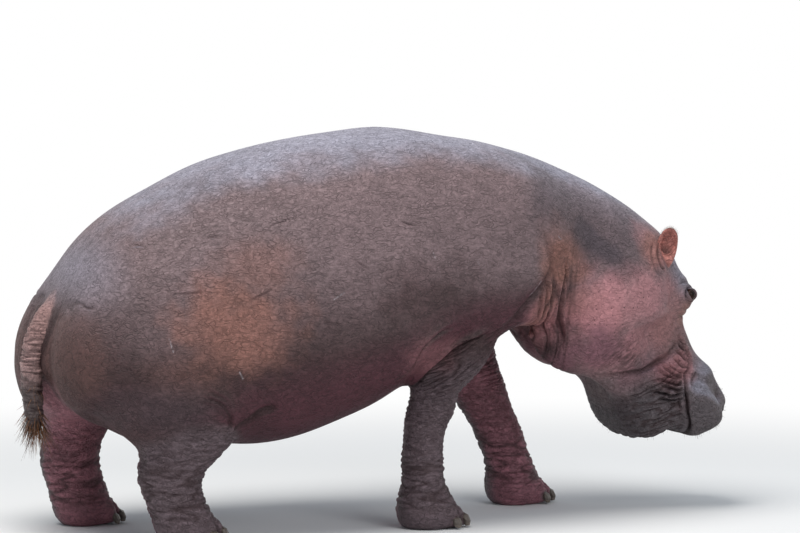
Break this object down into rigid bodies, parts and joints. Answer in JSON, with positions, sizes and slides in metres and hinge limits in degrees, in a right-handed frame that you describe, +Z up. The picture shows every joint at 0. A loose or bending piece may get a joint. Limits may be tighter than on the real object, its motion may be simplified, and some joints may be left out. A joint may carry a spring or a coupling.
{
  "type": "hippopotamus",
  "caption": "Life-size still model of an adult common hippopotamus walking with its head lowered, bare folded skin, divided into named body parts",
  "frame": {"origin": "on the floor, under the middle of the whole animal's box", "axes": "+X the way the animal faces, +Y its left, +Z up"},
  "size_m": [2.6012, 1.0632, 1.3765],
  "materials": {
    "hide": "matte bare skin, purplish brown",
    "hide_face": "matte bare skin, rose to grey",
    "hide_leg": "matte bare skin, dark maroon brown",
    "eye": "wet and glossy",
    "nail": "dull horn"
  },
  "bodies": {
    "root": {"rump": "hide", "trunk": "hide", "shoulders": "hide", "neck": "hide", "head": "hide_face", "lower_jaw": "hide_face", "ear_left": "hide_face", "ear_right": "hide_face", "eye_left": "eye", "eye_right": "eye", "leg_front_right": "hide_leg", "foot_front_right": "hide_leg", "leg_front_left": "hide_leg", "foot_front_left": "hide_leg", "leg_hind_right": "hide_leg", "foot_hind_right": "hide_leg", "leg_hind_left": "hide_leg", "foot_hind_left": "hide_leg", "nail_front_right_1": "nail", "nail_front_right_2": "nail", "nail_front_right_3": "nail", "nail_front_right_4": "nail", "nail_front_left_1": "nail", "nail_front_left_2": "nail", "nail_front_left_3": "nail", "nail_front_left_4": "nail", "nail_hind_right_1": "nail", "nail_hind_right_2": "nail", "nail_hind_right_3": "nail", "nail_hind_right_4": "nail", "nail_hind_left_1": "nail", "nail_hind_left_2": "nail", "nail_hind_left_3": "nail", "nail_hind_left_4": "nail", "tail": "hide"}
  },
  "joints": []
}
